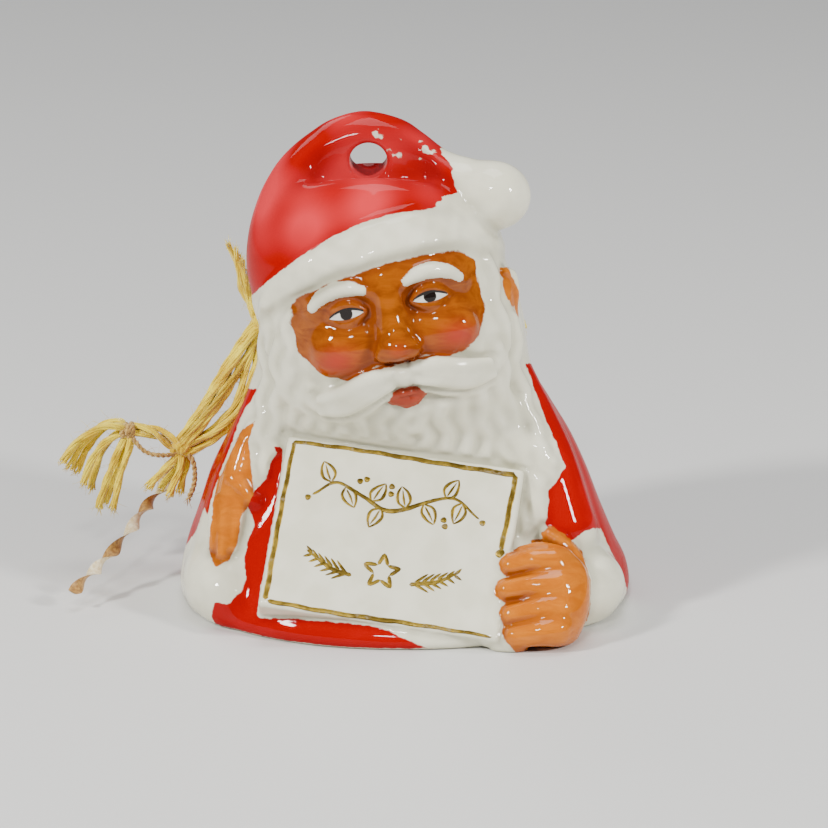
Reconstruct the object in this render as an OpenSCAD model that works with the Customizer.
// Figural bell ornament: a hollow glazed porcelain bust that holds a card, open at the bottom.
// A cotton cord crosses the neck through two small holes and carries the clapper inside. Its
// ends are knotted outside, and the left end runs on as a knotted floss tassel.
// Millimetres. +Z is up, the front faces -Y, and z = 0 is the plane of the bell's mouth.

/* [Bell body] */
// Height from the mouth rim to the top of the hat
bell_h = 68.6; // [64:0.1:74]
// Width across the cuffs at the mouth rim
bell_w = 63.2; // [60:0.1:68]
// Thickness of the porcelain wall
wall = 2.5; // [2:0.1:3]

/* [Hat hole] */
// Diameter of the hanging hole through the pinched hat
hat_hole_d = 5.2; // [4:0.1:6]

/* [Card] */
// Width of the card
card_w = 33; // [30:0.5:35]
// Height of the card
card_h = 25; // [22:0.5:26]
// Backward lean of the card, degrees
card_lean = 36; // [32:1:40]

/* [Clapper] */
// Diameter of the clapper bead
bead_d = 8; // [6:0.1:8.4]
// Distance from the cross cord to the middle of the bead
clapper_l = 22.5; // [20:0.5:25]

/* [Hidden] */

gap = 0.3;              // running gap between pieces that move past each other
eps = 0.05;             // small clearance between pieces that only touch
running_fit = 0.06;     // radial clearance of the hanger knot on the cross cord
ring_n = 48;            // points around one level of the body
kw = bell_w / 63.2;     // width scale of the body outline
kh = bell_h / 68.6;     // height scale of the body outline

// Body outline, one level per row: height, left, right, front, back, fullness of the ellipse
body_levels = [
    [0, -31.0, 31.0, -27.2, 27.8, 2.1],
    [1.4, -31.6, 31.6, -27.6, 28.4, 2.1],
    [4, -31.5, 31.4, -26.0, 28.2, 2.1],
    [7.5, -30.7, 29.8, -23.2, 27.1, 2.1],
    [12.5, -29.0, 27.7, -19.4, 25.0, 2.1],
    [18.5, -27.0, 25.4, -15.4, 23.0, 2.1],
    [23, -24.8, 23.3, -13.2, 21.4, 2.1],
    [27.5, -22.6, 20.6, -13.6, 20.0, 2.1],
    [32, -21.0, 18.0, -15.8, 18.8, 2.2],
    [36, -20.3, 17.1, -17.2, 18.1, 2.2],
    [40, -20.3, 16.4, -17.2, 18.0, 2.2],
    [43.5, -21.2, 15.5, -16.8, 18.0, 2.2],
    [47, -21.9, 14.3, -16.8, 17.9, 2.1],
    [51, -21.8, 13.3, -16.0, 17.4, 2.1],
    [55, -20.9, 11.6, -13.8, 16.2, 2.0],
    [59, -19.2, 8.9, -10.6, 13.8, 2.0],
    [62.5, -16.7, 5.9, -7.0, 11.0, 2.0],
    [65.5, -13.2, 2.6, -3.2, 7.8, 2.0],
    [67.6, -9.8, -0.8, -0.2, 5.0, 2.0],
    [68.6, -7.0, -4.0, 1.6, 3.2, 2.0]
];

// Hollow inside: the wall follows the outline up to the pinched part of the hat
hollow_top = 55;
hollow_levels = [
    for (l = body_levels)
        if (l[0] < hollow_top - 3)
            [l[0] == 0 ? -1 : l[0], l[1] + wall, l[2] - wall, l[3] + wall, l[4] - wall, l[5]]
];
hollow_cap = [
    [53.5, -15.5, 8.0, -9.5, 12.0, 2.0],
    [hollow_top, -9.0, 2.0, -4.0, 6.0, 2.0]
];

// Hanging hole through the hat, along Y
hat_hole = [-5, 2, 62.4];
hat_web = 7;            // thickness of the pinched web around the hole
dent_r = 6.2;           // half height of the dents pressed in around the hole
dent_deep = 9;          // half depth of each dent

// Hat brim and pompom
brim_mid = [-3.9, 0.6, 48.8];
brim_r = 18.6;          // outer radius of the fur brim
brim_band = 3.4;        // half height of the fur brim
brim_proud = 1.6;       // half thickness of the fur brim
brim_roll = 17;         // the head leans, so the brim climbs to the right
brim_pitch = 13;        // and it sits higher over the forehead than at the nape
pompom_mid = [12.1, -2, 57.5];
pompom_r = [5.3, 4.8, 5.0];

// Card held in front of the body
card_mid = [-1.7, -19.6, 13.9];
card_t = 4.5;           // thickness, most of it sunk into the body
card_roll = 9;          // the card is held slightly crooked

// Cross cord through the two neck holes, and the clapper that hangs from it
cord_hole_d = 2.2;
pivot = [-2, 9, 36.5];
cross_cord_r = 0.75;
cross_cord_ends = [-19.8, 15.9];
hanger_knot_r = 1.7;
clapper_cord_r = 0.5;
bead_bore_r = 0.7;
end_knot_r = 1.2;
left_knot_at = [-20.1, 10.1, 36.5];
left_knot_r = 1.7;
right_knot_at = [16.2, 9.8, 36.5];
right_knot_r = 1.3;

// Knots of the floss tassel
main_knot_at = [-32, 11.5, 17.6];
main_knot_r = 1.6;
second_knot_at = [-39.6, 11.6, 20.2];
second_knot_r = 1.7;
yarn_r = 0.55;

// Routes of the floss, chosen by hand
upper_route = [[-21.3, 10.4, 35.3], [-23.9, 10.9, 30.6], [-27.3, 11.3, 24.8], [-31.3, 11.5, 18.8]];
lower_route = [[-20.6, 10.8, 34.9], [-21.9, 11, 29.6], [-23.4, 11.1, 24.2], [-26.6, 11.3, 20.4], [-30.6, 11.5, 17.9]];
tail_route = [[-20.8, 10.4, 37.9], [-22.2, 10.7, 41.2], [-23.2, 10.9, 44.6], [-24, 11, 48.2]];
branch_route = [[-33.1, 11.5, 18.5], [-35.6, 11.5, 20], [-38.2, 11.6, 20.3]];
loop_route = [[-38.4, 10.3, 18.9], [-37, 9.8, 17.6], [-35.2, 9.8, 17.1], [-33.1, 10.6, 17]];
tan_route = [[-30.3, 10.4, 16.1], [-30.1, 10.2, 13], [-31.1, 10.1, 10.2]];
ribbon_route = [[-32.8, 13.2, 16.2], [-34.2, 13.6, 12.8], [-35.3, 12.6, 10.6], [-36.9, 8.6, 9.7],
    [-39.2, 3.6, 7.5], [-42.2, -2, 5.1], [-46.3, -9.8, 2.8]];
long_fan_routes = [
    [[-40.8, 10.4, 21.2], [-43.6, 10.2, 21], [-46.6, 10.3, 19], [-49, 10.6, 15.9]],
    [[-40.9, 11.6, 21.6], [-43.6, 11.7, 20.7], [-46.2, 11.7, 18], [-48.2, 11.8, 14.6]],
    [[-40.8, 12.8, 21.2], [-43.4, 13, 19.9], [-45.6, 12.9, 17.2], [-47.2, 12.8, 13.7]],
    [[-41.1, 10.8, 19.7], [-43.2, 10.4, 18.4], [-44.9, 10.3, 15.9], [-46.1, 10.4, 12.6]],
    [[-41.1, 12.2, 19.7], [-42.9, 12.1, 17.8], [-44.2, 12, 14.9], [-45.1, 11.9, 11.4]]
];
straight_routes = [
    [[-40.4, 10.8, 18.7], [-41.8, 10.5, 15.4], [-43, 10.4, 12.2], [-43.9, 10.4, 9]],
    [[-39.7, 12.2, 18.5], [-41, 12, 15.4], [-42.1, 11.8, 12.4], [-43, 11.7, 9.4]],
    [[-39.2, 10.8, 18.6], [-40.3, 10.8, 15.3], [-41.2, 10.8, 12], [-41.8, 10.7, 8.7]]
];
short_fan_routes = [
    [[-33.4, 10.6, 15.8], [-34.8, 10.3, 14.4], [-36.8, 10.1, 12.1]],
    [[-32.4, 11.8, 15.3], [-33.6, 11.7, 13.6], [-35.1, 11.6, 11.4]],
    [[-32, 10.5, 15.4], [-32.9, 10.2, 13.2], [-33.8, 10, 10.9]],
    [[-31.2, 11.8, 15.4], [-31.8, 11.7, 13.2], [-32.4, 11.6, 11]]
];

// ---- Shared shapes ----

// One point of a level: a rounded ellipse whose front and back depths differ
function level_point(l, a) =
    let (c = cos(a), s = sin(a), p = 2 / l[5], mid = (l[1] + l[2]) / 2, half = (l[2] - l[1]) / 2)
    [
        kw * (mid + half * sign(c) * pow(abs(c), p)),
        kw * (s < 0 ? -l[3] : l[4]) * sign(s) * pow(abs(s), p),
        kh * l[0]
    ];

// Front and back depths that pass y = 0 need a middle of their own
function level_shift(l) = l[3] > -2 ? (l[3] + l[4]) / 2 : 0;

function level_ring(l) =
    let (m = level_shift(l), k = [l[0], l[1], l[2], l[3] - m, l[4] - m, l[5]])
    [for (i = [0:ring_n - 1]) level_point(k, 360 * i / ring_n) + [0, kw * m, 0]];

// Closed solid through a stack of levels
module loft(levels) {
    n = len(levels);
    pts = [for (l = levels) each level_ring(l)];
    sides = [
        for (j = [0:n - 2], i = [0:ring_n - 1])
            let (k = (i + 1) % ring_n, a = j * ring_n)
            each [[a + i, a + ring_n + i, a + ring_n + k], [a + i, a + ring_n + k, a + k]]
    ];
    bottom = [for (i = [0:ring_n - 1]) i];
    top = [for (i = [ring_n - 1:-1:0]) (n - 1) * ring_n + i];
    polyhedron(points = pts, faces = concat(sides, [bottom, top]), convexity = 6);
}

function unit(v) = v / norm(v);

// Direction of a route at point i
function heading(route, i) =
    unit(route[min(i + 1, len(route) - 1)] - route[max(i - 1, 0)]);

// Closed tube swept along a route, with flat ends
module tube(route, r, sides = 8) {
    n = len(route);
    pts = [
        for (i = [0:n - 1])
            let (t = heading(route, i), u = unit(cross(t, [0.1, 1, 0.05])), v = cross(t, u))
            for (k = [0:sides - 1])
                let (a = 360 * k / sides)
                route[i] + r * (cos(a) * u + sin(a) * v)
    ];
    walls = [
        for (i = [0:n - 2], k = [0:sides - 1])
            let (m = (k + 1) % sides, a = i * sides)
            each [[a + k, a + sides + k, a + sides + m], [a + k, a + sides + m, a + m]]
    ];
    start = [for (k = [0:sides - 1]) k];
    end = [for (k = [sides - 1:-1:0]) (n - 1) * sides + k];
    polyhedron(points = pts, faces = concat(walls, [start, end]), convexity = 4);
}

module ellipsoid(at, radii, fn = 28) {
    translate(at)
        scale(radii)
            sphere(r = 1, $fn = fn);
}

// ---- The porcelain bell ----

module card_block() {
    translate(card_mid)
        rotate([-card_lean, 0, 0])
            rotate([0, card_roll, 0])
                translate([-card_w / 2, 0, -card_h / 2])
                    cube([card_w, card_t, card_h]);
}

module finger(at, width) {
    hull() {
        translate(at)
            sphere(r = 2, $fn = 16);
        translate(at + [width, 3, -0.6])
            sphere(r = 2.3, $fn = 16);
    }
}

// Fist that grips the card's right edge
module right_hand() {
    for (i = [0:3])
        finger([14.4 + 0.8 * i, -22.0 - 1.2 * i, 12.4 - 3.3 * i], 7.5);
    ellipsoid([22.5, -19.5, 8.2], [3.6, 4.6, 7]);
    ellipsoid([22.5, -13, 7.6], [6, 8, 8]);
}

// Hand that hangs at the card's left edge
module left_hand() {
    hull() {
        translate([-21.2, -10, 24.5])
            sphere(r = 1.8, $fn = 20);
        translate([-22.8, -11.4, 17])
            sphere(r = 3, $fn = 20);
        translate([-22.8, -13.4, 10.5])
            sphere(r = 2.4, $fn = 20);
    }
    ellipsoid([-23.4, -11.6, 6], [6.8, 7.4, 6.4]);
}

module hat_brim() {
    translate(brim_mid)
        rotate([-brim_pitch, 0, 0])
            rotate([0, -brim_roll, 0])
                rotate_extrude($fn = 48)
                    translate([brim_r - brim_proud, 0])
                        scale([brim_proud, brim_band])
                            circle(r = 1, $fn = 16);
}

// Dent pressed into the hat on one side of the web; side is -1 at the front and 1 at the back
module hat_dent(side) {
    ellipsoid(
        hat_hole + [0, side * (hat_web / 2 + dent_deep), 0.2],
        [dent_r * 1.25, dent_deep, dent_r * 0.75]
    );
}

// Everything except the two round holes, as one closed mesh
module shell_mesh() {
    resize([0, 0, bell_h])
        difference() {
            union() {
                loft(body_levels);
                hat_brim();
                ellipsoid(pompom_mid, pompom_r);
                card_block();
                right_hand();
                left_hand();
            }
            loft(concat(hollow_levels, hollow_cap));
            hat_dent(-1);
            hat_dent(1);
            translate([-50, -50, -10])
                cube([100, 100, 10]);
        }
}

module bell_shell() {
    color("white")
        difference() {
            shell_mesh();
            translate([hat_hole[0], hat_hole[1] + 12, hat_hole[2]])
                rotate([90, 0, 0])
                    cylinder(d = hat_hole_d, h = 24, $fn = 48);
            translate([cross_cord_ends[0] - 3, pivot[1], pivot[2]])
                rotate([0, 90, 0])
                    cylinder(d = cord_hole_d, h = cross_cord_ends[1] - cross_cord_ends[0] + 6, $fn = 32);
        }
}

// ---- Suspension and clapper ----

module cross_cord() {
    color("khaki")
        translate([cross_cord_ends[0], pivot[1], pivot[2]])
            rotate([0, 90, 0])
                cylinder(r = cross_cord_r, h = cross_cord_ends[1] - cross_cord_ends[0], $fn = 32);
}

module left_knot() {
    color("khaki")
        translate(left_knot_at)
            sphere(r = left_knot_r, $fn = 32);
}

module right_knot() {
    color("khaki")
        translate(right_knot_at)
            sphere(r = right_knot_r, $fn = 32);
}

// Knot around the cross cord, free to turn on it
module hanger_knot() {
    color("khaki")
        translate(pivot)
            difference() {
                sphere(r = hanger_knot_r, $fn = 32);
                rotate([0, 90, 0])
                    cylinder(r = cross_cord_r + running_fit, h = 4 * hanger_knot_r, center = true, $fn = 32);
            }
}

module clapper_cord() {
    color("khaki")
        translate(pivot - [0, 0, clapper_l + bead_d / 2])
            cylinder(r = clapper_cord_r, h = clapper_l + bead_d / 2 - hanger_knot_r - gap, $fn = 24);
}

module clapper_bead() {
    color("ivory")
        translate(pivot - [0, 0, clapper_l])
            difference() {
                sphere(d = bead_d, $fn = 48);
                translate([0, 0, -bead_d])
                    cylinder(r = bead_bore_r, h = 2 * bead_d, $fn = 24);
            }
}

module clapper_end_knot() {
    color("khaki")
        translate(pivot - [0, 0, clapper_l + bead_d / 2 + end_knot_r + eps])
            sphere(r = end_knot_r, $fn = 32);
}

// ---- Floss tassel ----

module floss_upper() {
    color("khaki") tube(upper_route, 1.3);
}

module floss_lower() {
    color("khaki") tube(lower_route, 1.2);
}

module floss_tail() {
    color("khaki") tube(tail_route, 1.1);
}

module main_knot() {
    color("khaki")
        translate(main_knot_at)
            sphere(r = main_knot_r, $fn = 32);
}

module floss_branch() {
    color("khaki") tube(branch_route, 1.2);
}

module yarn_loop() {
    color("tan") tube(loop_route, 0.35);
}

module second_knot() {
    color("tan")
        translate(second_knot_at)
            sphere(r = second_knot_r, $fn = 32);
}

module yarns(routes) {
    color("khaki")
        for (route = routes)
            tube(route, yarn_r);
}

module long_fan() {
    yarns(long_fan_routes);
}

module straight_ends() {
    yarns(straight_routes);
}

module short_fan() {
    yarns(short_fan_routes);
}

module tan_end() {
    color("tan") tube(tan_route, 0.4);
}

module gold_ribbon() {
    color("goldenrod") tube(ribbon_route, 0.7);
}

bell_shell();
cross_cord();
left_knot();
right_knot();
hanger_knot();
clapper_cord();
clapper_bead();
clapper_end_knot();
floss_upper();
floss_lower();
floss_tail();
main_knot();
floss_branch();
yarn_loop();
second_knot();
long_fan();
straight_ends();
short_fan();
tan_end();
gold_ribbon();
